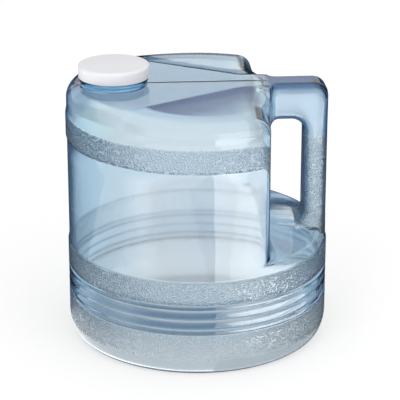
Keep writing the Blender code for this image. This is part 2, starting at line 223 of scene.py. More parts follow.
bluePlastic = {
    "ior": 1.52,
    "outerRoughness": 0.05, "innerRoughness": 0.10, "grainRoughness": 0.29,
    "absorbColour": (0.01, 0.46, 0.70, 1.0), "absorbDensity": 60.0,
    "pebblesPerMetre": 560.0, "pebbleHeight": 0.0010,
    "grooveShade": 0.55, "grooveShadeColour": (0.15, 0.22, 0.32, 1.0),
    "behindShare": 0.25,   # of grain and tone left on the far wall
    "wavesPerMetre": 28.0, "waveHeight": 0.0003,
    # share of the light let through, from face on to edge on: partly the longer path through the blue
    # plastic, partly painted shade that darkens the edges
    "edgeTintAndShade": [(0.08, (0.68, 0.74, 0.81, 1.0)), (0.11, (0.67, 0.71, 0.74, 1.0)),
                 (0.16, (0.78, 0.85, 0.90, 1.0)), (0.255, (0.59, 0.75, 0.87, 1.0)),
                 (0.44, (0.46, 0.68, 0.87, 1.0)), (0.645, (0.42, 0.58, 0.75, 1.0)),
                 (0.73, (0.20, 0.34, 0.55, 1.0)), (0.81, (0.05, 0.09, 0.20, 1.0)),
                 (1.0, (0.004, 0.008, 0.025, 1.0))],
    # the same on the crown, with painted shade where it slopes to the eye and where it falls away from it
    "crownTint": [(0.22, (0.72, 0.80, 0.88, 1.0)), (0.32, (0.60, 0.71, 0.82, 1.0)),
                  (0.41, (0.025, 0.045, 0.12, 1.0)), (0.605, (0.022, 0.040, 0.11, 1.0)),
                  (0.635, (0.06, 0.10, 0.20, 1.0)), (0.685, (0.25, 0.37, 0.53, 1.0)),
                  (0.715, (0.29, 0.43, 0.59, 1.0)), (0.755, (0.60, 0.76, 0.91, 1.0)),
                  (0.80, (0.58, 0.75, 0.90, 1.0)), (0.83, (0.08, 0.13, 0.25, 1.0)),
                  (0.87, (0.03, 0.06, 0.14, 1.0))],
    # where the crown has that painted shade: its foot, how far above the roof, its end beside the handle
    # and its reach from the middle, each with the run over which the shade fades
    "crownFoot": (0.218, 0.003), "crownAbove": (0.002, 0.001),
    "crownEnd": (0.057, 0.012), "crownReach": (0.086, 0.005),
    "tintFoot": (0.010, 0.034),   # the base has no tint, as painted light against the shadow seen through it, and this is where the wall's begins
    # deeper blue on the neck, where the plastic is thick; darker beside the neck; painted shade in the
    # pocket and on the ribs
    "neckTone": (0.14, 0.41, 0.72), "pocketShade": (0.60, 0.72, 0.82),
    "neckSideTone": (0.48, 0.62, 0.80), "neckSide": (142, 16),   # from so many degrees round, and the run
    "ribShade": (0.026, 0.08, 0.18), "ribShadeSharpness": 3, "ribTopShare": 0.5,
    "ribShadeFades": ((72, 88, 0.22), (128, 112, 0.55)),   # painted shade faint and full at so many degrees, share left where faint
    # painted light and shade on the handle, at the middle of its sides, along its outside and along the
    # finger gap
    "armLightAndShade": ((0.66, 0.82, 0.92), (0.025, 0.08, 0.21), (0.05, 0.11, 0.25)),
    "gripLightAndShade": ((1.75, 1.62, 1.42), (0.14, 0.22, 0.36), (0.75, 0.84, 0.94)),
    # painted light, paler over the shoulder and the grained bands
    "shoulderPaintedLight": (1.85, 1.6, 1.28), "bandPaintedLight": (1.42, 1.36, 1.28),
}


def makeBluePlastic():
    material, shader = newMaterial("clearBluePlastic")
    tree = material.node_tree
    place = objectPlace(tree)
    shader.inputs["Transmission Weight"].default_value = 1.0
    shader.inputs["IOR"].default_value = bluePlastic["ior"]
    shader.inputs["Metallic"].default_value = 0.0
    # the tint by facing: partly the blue plastic's longer path, partly painted shade at the edges and on
    # the crown
    facing = addNode(tree, "ShaderNodeLayerWeight")
    tints = []
    for name in ("edgeTintAndShade", "crownTint"):
        ramp = addNode(tree, "ShaderNodeValToRGB")
        setRamp(ramp.color_ramp, bluePlastic[name])
        feed(tree, ramp, "Fac", facing.outputs["Facing"])
        tints.append(ramp.outputs["Color"])
    crown = addNode(tree, "ShaderNodeAttribute", attribute_name="crown")
    tint = addNode(tree, "ShaderNodeMix", data_type="RGBA")
    feed(tree, tint, "Factor", crown.outputs["Fac"])
    feed(tree, tint, "A", tints[0])
    feed(tree, tint, "B", tints[1])
    # the far wall shows its grain and its painted light and shade only faintly
    behind = addNode(tree, "ShaderNodeNewGeometry").outputs["Backfacing"]
    shown = addNode(tree, "ShaderNodeMapRange")
    feed(tree, shown, "Value", behind)
    feed(tree, shown, "To Min", 1.0)
    feed(tree, shown, "To Max", bluePlastic["behindShare"])
    grained = addNode(tree, "ShaderNodeAttribute", attribute_name="grain")
    mask = reckon(tree, "MULTIPLY", grained.outputs["Fac"], shown.outputs["Result"])
    pebbles = useGroup(tree, pebbleGroup, {
        "Place": place, "Per Metre": bluePlastic["pebblesPerMetre"], "Mask": mask})
    # the vertex tone: painted light and shade on the ribs, pocket, handle, shoulder and bands, and the
    # neck's deeper blue
    toneAndShade = addNode(tree, "ShaderNodeAttribute", attribute_name="toneAndShade")
    toned = addNode(tree, "ShaderNodeMix", data_type="RGBA", blend_type="MULTIPLY")
    feed(tree, toned, "Factor", shown.outputs["Result"])
    feed(tree, toned, "A", tint.outputs["Result"])
    feed(tree, toned, "B", toneAndShade.outputs["Color"])
    # painted shade in the grooves between the pebbles
    shaded = addNode(tree, "ShaderNodeMix", data_type="RGBA", blend_type="MULTIPLY")
    groove = reckon(tree, "MULTIPLY", pebbles.outputs["Groove"], bluePlastic["grooveShade"])
    feed(tree, shaded, "Factor", groove)
    feed(tree, shaded, "A", toned.outputs["Result"])
    shaded.inputs["B"].default_value = bluePlastic["grooveShadeColour"]
    deepen = addNode(tree, "ShaderNodeAttribute", attribute_name="deepen")
    through = addNode(tree, "ShaderNodeMix", data_type="RGBA")
    feed(tree, through, "Factor", deepen.outputs["Fac"])
    through.inputs["A"].default_value = (1, 1, 1, 1)
    feed(tree, through, "B", shaded.outputs["Result"])
    feed(tree, shader, "Base Color", through.outputs["Result"])
    haze = addNode(tree, "ShaderNodeAttribute", attribute_name="haze")
    smooth = addNode(tree, "ShaderNodeMapRange")
    feed(tree, smooth, "Value", haze.outputs["Fac"])
    feed(tree, smooth, "To Min", bluePlastic["outerRoughness"])
    feed(tree, smooth, "To Max", bluePlastic["innerRoughness"])
    rough = addNode(tree, "ShaderNodeMapRange")
    feed(tree, rough, "Value", mask)
    feed(tree, rough, "To Min", smooth.outputs["Result"])
    feed(tree, rough, "To Max", bluePlastic["grainRoughness"])
    feed(tree, shader, "Roughness", rough.outputs["Result"])
    skin = useGroup(tree, mouldGroup, {
        "Place": place, "Waves Per Metre": bluePlastic["wavesPerMetre"],
        "Tooth Share": 0.0})   # too smooth for a tooth
    waves = addNode(tree, "ShaderNodeBump")
    feed(tree, waves, "Distance", bluePlastic["waveHeight"])
    feed(tree, waves, "Height", skin.outputs["Height"])
    grain = addNode(tree, "ShaderNodeBump")
    feed(tree, grain, "Distance", bluePlastic["pebbleHeight"])
    feed(tree, grain, "Height", pebbles.outputs["Height"])
    feed(tree, grain, "Normal", waves.outputs["Normal"])
    feed(tree, shader, "Normal", grain.outputs["Normal"])
    feed(tree, facing, "Normal", grain.outputs["Normal"])
    volume = addNode(tree, "ShaderNodeVolumeAbsorption")
    volume.inputs["Color"].default_value = bluePlastic["absorbColour"]
    volume.inputs["Density"].default_value = bluePlastic["absorbDensity"]
    tree.links.new(volume.outputs["Volume"], tree.nodes["Material Output"].inputs["Volume"])
    return material


# white cap plastic and liner foam

whitePlastic = {
    "colour": (0.80, 0.80, 0.83, 1.0), "patchShade": 0.06,
    "roughness": 0.42, "roughSpread": 0.06,
    "wavesPerMetre": 60.0, "toothPerMetre": 2600.0, "toothShare": 0.2, "bumpHeight": 0.00004,
}
foam = {
    "colour": (0.86, 0.86, 0.83, 1.0), "patchShade": 0.06,
    "roughness": 0.9, "roughSpread": 0.06,
    "wavesPerMetre": 300.0, "toothPerMetre": 1800.0, "toothShare": 1.0, "bumpHeight": 0.0002,
}


def makeWhite(name, values):
    material, shader = newMaterial(name)
    tree = material.node_tree
    skin = useGroup(tree, mouldGroup, {
        "Place": objectPlace(tree), "Waves Per Metre": values["wavesPerMetre"],
        "Tooth Per Metre": values["toothPerMetre"], "Tooth Share": values["toothShare"]})
    toneAndShade = addNode(tree, "ShaderNodeMix", data_type="RGBA", blend_type="MULTIPLY")
    toneAndShade.inputs["Factor"].default_value = values["patchShade"]
    toneAndShade.inputs["A"].default_value = values["colour"]
    feed(tree, toneAndShade, "B", skin.outputs["Patch"])
    feed(tree, shader, "Base Color", toneAndShade.outputs["Result"])
    rough = addNode(tree, "ShaderNodeMapRange")
    feed(tree, rough, "Value", skin.outputs["Patch"])
    feed(tree, rough, "To Min", values["roughness"] - values["roughSpread"])
    feed(tree, rough, "To Max", values["roughness"] + values["roughSpread"])
    feed(tree, shader, "Roughness", rough.outputs["Result"])
    bump = addNode(tree, "ShaderNodeBump")
    feed(tree, bump, "Distance", values["bumpHeight"])
    feed(tree, bump, "Height", skin.outputs["Height"])
    feed(tree, shader, "Normal", bump.outputs["Normal"])
    shader.inputs["Metallic"].default_value = 0.0
    return material


# the jug: an outer skin and an inner one, each a sheet rolled round the upright axis

jug = {
    "wall": 0.0020,
    "relief": 0.0010, "bandStep": 0.0010, "topBandStep": 0.0025,
    "neckHeight": 0.0144,
    "shoulder": 0.0113, "shoulderInside": 0.0120, "uprightCorner": 0.0148,
    "cornerWidth": 0.009, "cornerHeight": 0.020, "standWidth": 0.016, "pushUp": 0.006,
    "grainFoot": 0.012, "lowBandFoot": 0.0185,
    "ribGrooves": (0.038, 0.0433, 0.0518, 0.0608, 0.0652), "ribDepth": 0.0014, "ribSquareness": 4,
    "midBandHeight": 0.019, "topBandFoot": 0.183, "topBandHeight": 0.0185,
    "sideHeights": (0.130, 0.150, 0.170),   # rows of the plain wall under the top band
    "topBandFade": ((0.7, 0.75), (1.3, 0.35), (1.7, 0.1), (2.0, 0.0)),   # steps above it, share of relief
    "pocketWallX": 0.0547, "pocketFoot": 0.0875, "pocketEdge": 0.008, "pocketRise": 0.003,
    "pocketRidge": 0.006, "pocketRidgeHalf": 0.055,
    "pocketFillet": 0.010, "pocketEdgeShare": 0.4, "pocketTaper": 0.15,
    "handleHalf": 0.017, "handleEdge": 0.008, "handleEdgeShare": 0.45, "handleFillet": 0.008,
    "gripDepth": 0.0205, "armDepth": 0.032, "fingerCorner": 0.012,
    "armFlare": 0.007, "armFlareHalf": 0.060, "armFlareFoot": 0.172, "armFlareRise": 0.030,
    # the wedge's crease: a short step, then a long fall to the shoulder
    "crownEndX": 0.0384, "crownEndHalf": 0.0207, "crownSpread": math.radians(30.6),
    "facetStep": 0.0012, "facetStepRun": 0.007, "facetSlope": 0.125, "facetRun": 0.052,
    "seamHeight": 0.0004, "seamHalf": 0.0008, "seamShare": 0.03,
    "neckRadius": 0.0274, "neckFillet": 0.002, "lip": 0.0006,
    "collarFoot": 0.0024, "collarHeight": 0.0035, "collarRelief": 0.002, "collarSquareness": 4,
    "threadPitch": 0.0042, "threadTurns": 1.25, "threadRunOut": 0.125, "threadDepth": 0.0011,
    "threadRoot": 0.0020, "threadCrest": 0.0010, "threadFromRim": 0.0016,
}
jugSteps = {
    "across": 11, "flat": 14, "corner": 10, "back": 62,
    "base": 8, "baseCorner": 14, "lowBand": 3, "rib": 10, "midBand": 4, "bandStep": 4,
    "edge": 6, "foot": 11, "fillet": 8,
    "shoulder": 10, "shoulderFade": 12, "crown": 56,
    "neckFillet": 5, "collar": 10, "neck": 26,
    "arm": 7, "fan": 24, "grip": 12, "flare": 8,
}
outerRadius = jugHigh.x - jug["relief"]
acrossShares = [i / (jugSteps["across"] - 1) for i in range(jugSteps["across"])]
acrossShares.insert(1, jug["seamShare"])   # close set at the seam


def outerSkin():
    skin = dict(jug)
    skin["radius"] = outerRadius
    skin["rim"] = jugHigh.z
    skin["top"] = jugHigh.z - jug["neckHeight"]
    skin["floor"] = 0.0
    skin["gripX"] = skin["radius"] - jug["gripDepth"]
    skin["armZ"] = skin["top"] - jug["armDepth"]
    skin["outer"] = True
    return skin


def innerSkin(outer):
    # every round keeps its centre, so convex ones shrink by the wall and hollow ones grow by it
    wall = jug["wall"]
    skin = dict(outer, outer=False, shoulder=jug["shoulderInside"], collarRelief=0.0, threadDepth=0.0,
                seamHeight=0.0)
    for name in ("radius", "top", "uprightCorner", "pocketWallX", "pocketEdge",
                 "handleHalf", "handleEdge", "neckRadius"):
        skin[name] = outer[name] - wall
    for name in ("floor", "pocketFillet", "handleFillet", "gripX", "armZ", "fingerCorner", "neckFillet"):
        skin[name] = outer[name] + wall
    return skin


def flatColumn(skin, y):
    angle = math.asin(y / skin["radius"])
    rounded = Vector((skin["radius"] * math.cos(angle), y))
    wall = Vector((skin["pocketWallX"], y))
    return {"angle": angle, "round": rounded, "wall": wall, "out": Vector((1, 0)),
            "depth": rounded.x - wall.x, "roundness": 0.0}


def halfColumns(skin):
    # from the middle of the handle round to the back, on the +Y side
    radius, corner = skin["radius"], skin["uprightCorner"]
    joint = skin["handleHalf"] + skin["handleFillet"]
    centreX = skin["pocketWallX"] - corner
    flatEnd = math.sqrt((radius - corner) ** 2 - centreX ** 2)
    turn = math.atan2(flatEnd, centreX)
    flat = jugSteps["flat"]
    columns = [flatColumn(skin, joint * share) for share in acrossShares]
    columns += [flatColumn(skin, mix(joint, flatEnd, i / flat)) for i in range(1, flat + 1)]
    first = columns[-1]["angle"]
    for i in range(1, jugSteps["corner"] + 1):
        share = i / jugSteps["corner"]
        out = Vector((math.cos(turn * share), math.sin(turn * share)))
        wall = Vector((centreX, flatEnd)) + out * corner
        angle = mix(first, turn, share)
        rounded = Vector((math.cos(angle), math.sin(angle))) * radius
        columns.append({"angle": angle, "round": rounded, "wall": wall, "out": out,
                        "depth": (rounded - wall).length, "roundness": ease(share)})
    for i in range(1, jugSteps["back"] + 1):
        angle = mix(turn, math.pi, i / jugSteps["back"])
        out = Vector((math.cos(angle), math.sin(angle)))
        columns.append({"angle": angle, "round": out * radius, "wall": out * radius, "out": out,
                        "depth": 0.0, "roundness": 1.0})
    return columns


def mirrored(column):
    flip = Vector((1, -1))
    return dict(column, angle=-column["angle"], round=column["round"] * flip,
                wall=column["wall"] * flip, out=column["out"] * flip)


def allColumns(skin):
    half = halfColumns(skin)
    return [mirrored(column) for column in reversed(half[1:])] + half


# points where a row crosses a column

def pastCrease(x, y):
    # how far a place on the crown lies outside its level wedge, which narrows towards the handle
    spread = jug["crownSpread"]
    edge = jug["crownEndHalf"] + max(0.0, jug["crownEndX"] - x) * math.tan(spread)
    return (abs(y) - edge) * math.cos(spread)


def crownHeight(skin, x, y):
    past = pastCrease(x, y)
    beyond = min(max(0.0, past), skin["facetRun"])
    fall = skin["facetStep"] * ease(past / skin["facetStepRun"] + 0.5)
    fall += skin["facetSlope"] * beyond * (1 - beyond / skin["facetRun"] / 2)
    return skin["top"] - fall + skin["seamHeight"] * max(0.0, 1 - abs(y) / skin["seamHalf"])


def ringPoint(radius, height, column):
    angle = column["angle"]
    return Vector((radius * math.cos(angle), radius * math.sin(angle), height))


def floorRuns(skin, column):
    edge = min(skin["pocketEdge"], skin["pocketEdgeShare"] * column["depth"])
    fillet = min(skin["pocketFillet"], skin["pocketEdgeShare"] * column["depth"])
    return edge, column["depth"] - edge - fillet, fillet


def floorSlope(skin):
    return skin["radius"] - skin["pocketWallX"] - skin["pocketEdge"] - skin["pocketFillet"]


def floorRise(skin, column):
    slope = floorRuns(skin, column)[1]
    return skin["pocketRise"] * max(skin["pocketTaper"], slope / floorSlope(skin))


def floorPoint(skin, column, inward, above):
    # the floor has a low ridge under the finger gap and falls away from it on either side
    spot = column["round"]
    if column["depth"] > 0:
        spot = spot.lerp(column["wall"], inward / column["depth"])
    ridge = skin["pocketRidge"] * (1 - ease(abs(spot.y) / skin["pocketRidgeHalf"]))
    ridge *= ease(inward / jug["pocketEdge"])
    return Vector((spot.x, spot.y, skin["pocketFoot"] + skin["pocketEdge"] + ridge + above))


def floorEdgePoint(skin, turn, column):
    edge = floorRuns(skin, column)[0]
    drop = max(edge, skin["pocketTaper"] * skin["pocketEdge"])
    return floorPoint(skin, column, edge * (1 - math.cos(turn)), -drop * (1 - math.sin(turn)))


def floorSlopePoint(skin, share, column):
    edge, slope = floorRuns(skin, column)[:2]
    return floorPoint(skin, column, edge + slope * share, floorRise(skin, column) * share)


def floorFilletPoint(skin, turn, column):
    fillet = floorRuns(skin, column)[2]
    lift = max(fillet, skin["pocketTaper"] * skin["pocketFillet"])
    above = floorRise(skin, column) + lift * (1 - math.cos(turn))
    return floorPoint(skin, column, column["depth"] - fillet * (1 - math.sin(turn)), above)


def armFlare(skin, column, height):
    # the pocket wall swells out to meet the arm
    near = (skin["armFlareHalf"] - abs(column["wall"].y)) / (skin["armFlareHalf"] - jug["handleHalf"])
    high = risesFrom(height, skin["armFlareFoot"], skin["armFlareRise"])
    return skin["armFlare"] * (1 - column["roundness"]) * ease(near) * high


def shoulderPoint(skin, turn, column):
    size = skin["shoulder"]
    wall = column["wall"] + column["out"] * armFlare(skin, column, skin["top"])
    top = wall - column["out"] * size
    spot = wall - column["out"] * size * (1 - math.cos(turn))
    return Vector((spot.x, spot.y, crownHeight(skin, top.x, top.y) - size * (1 - math.sin(turn))))


def wallPoint(skin, flatHeight, roundHeight, relief, column):
    height = mix(flatHeight, roundHeight, column["roundness"])
    out = relief * skin["relief"] * column["roundness"] + armFlare(skin, column, height)
    spot = column["wall"] + column["out"] * out
    return Vector((spot.x, spot.y, height))


def armWallPoint(skin, share, roundHeight, relief, column):
    foot = skin["armZ"] - skin["handleFillet"]
    flatHeight = mix(foot, shoulderPoint(skin, 0.0, column).z, share)
    return wallPoint(skin, flatHeight, roundHeight, relief, column)


def neckPoint(skin, radius, height, column):
    spot = column["wall"] - column["out"] * skin["shoulder"]
    out = (spot - Vector((neckX, 0))).normalized()
    radius += threadHeight(skin, math.atan2(out.y, out.x), height)
    return Vector((neckX + out.x * radius, out.y * radius, height))


def threadHeight(skin, angle, height):
    # one ridge along a right-hand helix, run out at both ends
    if not skin["threadDepth"]:
        return 0.0
    pitch, turns = skin["threadPitch"], skin["threadTurns"]
    foot = skin["rim"] - skin["threadFromRim"] - pitch * turns
    best = 0.0
    for lap in range(math.ceil(turns) + 1):
        along = angle / (2 * math.pi) + lap
        if not 0 <= along <= turns:
            continue
        away = abs(height - foot - pitch * along)
        flank = (skin["threadRoot"] / 2 - away) / ((skin["threadRoot"] - skin["threadCrest"]) / 2)
        runOut = min(1.0, min(along, turns - along) / skin["threadRunOut"])
        best = max(best, skin["threadDepth"] * runOut * min(max(flank, 0.0), 1.0))
    return best


def crownPoint(skin, share, column):
    foot = neckPoint(skin, skin["neckRadius"] + skin["neckFillet"], skin["top"], column)
    point = shoulderPoint(skin, math.pi / 2, column).lerp(foot, share)
    point.z = crownHeight(skin, point.x, point.y)
    return point


# rows from the middle of the base up to the rim: how each meets a column, how strongly it is grained
# and, where it has one of its own, its tone with painted light or shade, or what gives that tone at a
# column

def baseRows(skin):
    standOuter = outerRadius - skin["cornerWidth"]
    standInner = standOuter - skin["standWidth"]
    rows = []
    for i in range(jugSteps["base"] + 1):
        share = i / jugSteps["base"]
        height = skin["floor"] + skin["pushUp"] * (1 - ease(share))
        rows.append((partial(ringPoint, standInner * share, height), 0))
    rows.append((partial(ringPoint, mix(standInner, standOuter, 0.5), skin["floor"]), 0))
    wide = skin["radius"] + skin["relief"] - standOuter
    high = skin["cornerHeight"] - skin["floor"]
    for turn in quarter(jugSteps["baseCorner"]):
        height = skin["floor"] + high * (1 - math.cos(turn))
        grain = risesFrom(height, skin["grainFoot"], skin["lowBandFoot"] - skin["grainFoot"])
        rows.append((partial(ringPoint, standOuter + wide * math.sin(turn), height), grain))
    return rows


def ribRows(skin):
    crest = skin["radius"] + skin["relief"]
    step, grooves = skin["bandStep"], skin["ribGrooves"]
    rows = []
    for i in range(1, jugSteps["lowBand"] + 1):
        height = mix(skin["cornerHeight"], grooves[0] - step, i / jugSteps["lowBand"])
        rows.append((partial(ringPoint, crest, height), 1))
    for low, high in zip(grooves, grooves[1:]):
        for i in range(jugSteps["rib"]):
            share = (1 - math.cos(math.pi * i / jugSteps["rib"])) / 2
            bead = beadShape(share, skin["ribSquareness"])
            # painted shade on each bead, darkest at its middle and fainter towards its upper edge
            shadeAmount = bead ** bluePlastic["ribShadeSharpness"] * mix(1.0, bluePlastic["ribTopShare"], share)
            radius = crest - skin["ribDepth"] * (1 - bead)
            rows.append((partial(ringPoint, radius, mix(low, high, share)), 0, partial(ribShade, shadeAmount)))
    rows.append((partial(ringPoint, crest - skin["ribDepth"], grooves[-1]), 0))
    bandFoot = grooves[-1] + step
    bandTop = bandFoot + skin["midBandHeight"]
    for i in range(jugSteps["midBand"] + 1):
        rows.append((partial(ringPoint, crest, mix(bandFoot, bandTop, i / jugSteps["midBand"])), 1))
    for i in range(1, jugSteps["bandStep"] + 1):
        share = i / jugSteps["bandStep"]
        rows.append((partial(ringPoint, crest - skin["relief"] * ease(share), bandTop + step * share), 0))
    rows.append((partial(ringPoint, skin["radius"], mix(bandTop + step, skin["pocketFoot"], 0.5)), 0))
    return rows


def degreesRound(column):
    return math.degrees(abs(column["angle"]))


def ribShade(shadeAmount, column):
    # painted shade on the ribs, fullest at the sides and fainter towards the handle and the neck
    for faintAt, fullAt, share in bluePlastic["ribShadeFades"]:
        shadeAmount *= mix(share, 1.0, risesFrom(degreesRound(column), faintAt, fullAt - faintAt))
    return [part ** shadeAmount for part in bluePlastic["ribShade"]]


def pocketRows(skin):
    footShare = (skin["gripDepth"] + jug["handleFillet"] - jug["pocketEdge"]) / floorSlope(skin)
    foot = jugSteps["foot"]
    rows = [(partial(floorEdgePoint, skin, turn), 0) for turn in quarter(jugSteps["edge"])]
    for i in range(1, foot + 1):
        toneAndShade = partial(pocketShade, i / foot)
        rows.append((partial(floorSlopePoint, skin, footShare * i / foot), 0, toneAndShade))
    for turn in quarter(jugSteps["fillet"]):
        rows.append((partial(floorFilletPoint, skin, turn), 0, partial(pocketShade, 1.0)))
    return rows


def pocketShade(amount, column):
    # painted shade on the pocket floor, deepening towards the fillet at the pocket wall where the pocket is
    # deep
    share = amount * ease(column["depth"] / jug["pocketFillet"])
    return [mix(1.0, part, share) for part in bluePlastic["pocketShade"]]


def upperRows(skin):
    foot = skin["pocketFoot"] + skin["pocketEdge"] + skin["pocketRidge"] + skin["pocketRise"]
    foot += skin["pocketFillet"]
    arm = skin["armZ"] - skin["handleFillet"]
    bandFoot, step = skin["topBandFoot"], skin["topBandStep"]
    bandTop = bandFoot + skin["topBandHeight"]
    # height on the round wall and share of the band's relief, which is grained only where it is full
    below = [(height, 0) for height in skin["sideHeights"]]
    below += [(bandFoot - step, 0), (bandFoot - step / 2, 0.5), (bandFoot, 1)]
    beside = [(mix(bandFoot, bandTop, share), 1) for share in (0.33, 0.67, 1.0)]
    beside += [(bandTop + steps * step, relief) for steps, relief in skin["topBandFade"]]
    rows = []
    for i, (height, relief) in enumerate(below):
        flat = mix(foot, arm, (i + 1) / (len(below) + 1))
        rows.append((partial(wallPoint, skin, flat, height, relief), math.floor(relief)))
    for i, (height, relief) in enumerate(beside):
        point = partial(armWallPoint, skin, i / len(beside), height, relief)
        rows.append((point, math.floor(relief), bluePlastic["bandPaintedLight"]))
    return rows


def crownRows(skin):
    steps = jugSteps["crown"]
    rows = []
    for turn in quarter(jugSteps["shoulder"]):
        toneAndShade = partial(shoulderPaintedLight, bluePlastic["bandPaintedLight"], math.sin(turn))
        rows.append((partial(shoulderPoint, skin, turn), 0, toneAndShade))
    for i in range(1, steps + 1):
        toneAndShade = partial(shoulderPaintedLight, (1.0, 1.0, 1.0), 1 - ease(i / jugSteps["shoulderFade"]))
        rows.append((partial(crownPoint, skin, i / steps), 0, toneAndShade))
    return rows


def shoulderPaintedLight(plain, share, column):
    # painted light over the sides, and darker beside the neck
    beside = risesFrom(degreesRound(column), *bluePlastic["neckSide"])
    ends = zip(bluePlastic["shoulderPaintedLight"], bluePlastic["neckSideTone"])
    return [mix(start, mix(*pair, beside), share) for start, pair in zip(plain, ends)]


def neckRows(skin):
    rows = []
    toneAndShade = bluePlastic["neckTone"]
    for turn in quarter(jugSteps["neckFillet"])[1:]:
        radius = skin["neckRadius"] + skin["neckFillet"] * (1 - math.sin(turn))
        height = skin["top"] + skin["neckFillet"] * (1 - math.cos(turn))
        rows.append((partial(neckPoint, skin, radius, height), 0, toneAndShade))
    if not skin["outer"]:
        rows.append((partial(neckPoint, skin, skin["neckRadius"], skin["rim"]), 0))
        return rows
    foot = skin["top"] + skin["collarFoot"]
    for i in range(jugSteps["collar"] + 1):
        share = i / jugSteps["collar"]
        radius = skin["neckRadius"] + skin["collarRelief"] * beadShape(share, skin["collarSquareness"])
        rows.append((partial(neckPoint, skin, radius, foot + skin["collarHeight"] * share), 0, toneAndShade))
    above = foot + skin["collarHeight"]
    for i in range(1, jugSteps["neck"] + 1):
        height = mix(above, skin["rim"], i / jugSteps["neck"])
        taken = skin["lip"] * risesFrom(height, skin["rim"] - skin["lip"], skin["lip"])
        rows.append((partial(neckPoint, skin, skin["neckRadius"] - taken, height), 0, toneAndShade))
    return rows


# the handle: a tube from the upper wall, out along the arm and down the grip to the pocket floor

def handleStations():
    side, deep = jugSteps["across"], handleDeep()
    stations = [(i, 0) for i in range(-side, side)]
    stations += [(side, k) for k in range(deep)]
    stations += [(i, deep) for i in range(side, -side, -1)]
    stations += [(-side, k) for k in range(deep, 0, -1)]
    return stations


def handleDeep():
    return jugSteps["shoulder"] + jugSteps["arm"]


def sectionPoint(skin, station, outer, inner, half, sagShare):
    depth = (inner - outer).length
    edge = min(skin["handleEdge"], depth * skin["handleEdgeShare"])
    across = half * math.copysign(acrossShares[abs(station[0])], station[0])
    deep = depth * station[1] / handleDeep()
    core = Vector((min(max(across, edge - half), half - edge), min(max(deep, edge), depth - edge)))
    spot = core + (Vector((across, deep)) - core).normalized() * edge
    middle = outer.lerp(inner, spot.y / depth)
    sag = skin["radius"] - math.sqrt(skin["radius"] ** 2 - spot.x ** 2)
    return Vector((middle.x - sag * sagShare * (1 - spot.y / depth), spot.x, middle.y))


def reachCorner(skin, pivot, turn):
    # where a ray from the pivot meets the arm's top, the rounded corner or the grip's outer side
    ray = Vector((math.cos(turn), math.sin(turn)))
    far = skin["radius"] * 2
    alongX = (skin["radius"] - pivot.x) / ray.x if ray.x > tiny else far
    alongZ = (skin["top"] - pivot.y) / ray.y if ray.y > tiny else far
    size = skin["shoulder"]
    centre = Vector((skin["radius"] - size, skin["top"] - size)) - pivot
    hit = ray * min(alongX, alongZ)
    if hit.x > centre.x and hit.y > centre.y:
        ahead = ray.dot(centre)
        hit = ray * (ahead + math.sqrt(ahead ** 2 - centre.length_squared + size ** 2))
    return pivot + hit


def handleSections(skin):
    # outer and inner side in the XZ plane, half width, share of the body's roundness, grain
    half, fillet = skin["handleHalf"], skin["handleFillet"]
    sections = []
    turns = quarter(jugSteps["flare"])[1:]
    for turn in turns:
        flare = fillet * (1 - math.sin(turn))
        x = skin["pocketWallX"] + skin["armFlare"] + fillet * (1 - math.cos(turn))
        inner = Vector((x, skin["armZ"] - flare))
        sections.append((Vector((x, skin["top"])), inner, half + flare, 0.0, 0))
    pivot = Vector((skin["gripX"] - skin["fingerCorner"], skin["armZ"] - skin["fingerCorner"]))
    for i in range(jugSteps["fan"] + 1):
        turn = math.pi / 2 * (1 - i / jugSteps["fan"])
        inner = pivot + Vector((math.cos(turn), math.sin(turn))) * skin["fingerCorner"]
        sections.append((reachCorner(skin, pivot, turn), inner, half, math.cos(turn), 0))
    floor = floorSlopePoint(skin, (skin["gripDepth"] - jug["pocketEdge"]) / floorSlope(skin),
                            flatColumn(skin, 0.0)).z
    for i in range(1, jugSteps["grip"]):
        z = mix(pivot.y, floor + fillet, i / jugSteps["grip"])
        sections.append((Vector((skin["radius"], z)), Vector((skin["gripX"], z)), half, 1.0, 1))
    for step, turn in enumerate(reversed(turns)):
        flare = fillet * (1 - math.sin(turn))
        z = floor + fillet * (1 - math.cos(turn))
        outerZ = mix(floor + fillet, skin["pocketFoot"], step / jugSteps["flare"])
        sections.append((Vector((skin["radius"], outerZ)), Vector((skin["gripX"] - flare, z)),
                         half + flare, 1.0, 1))
    return sections


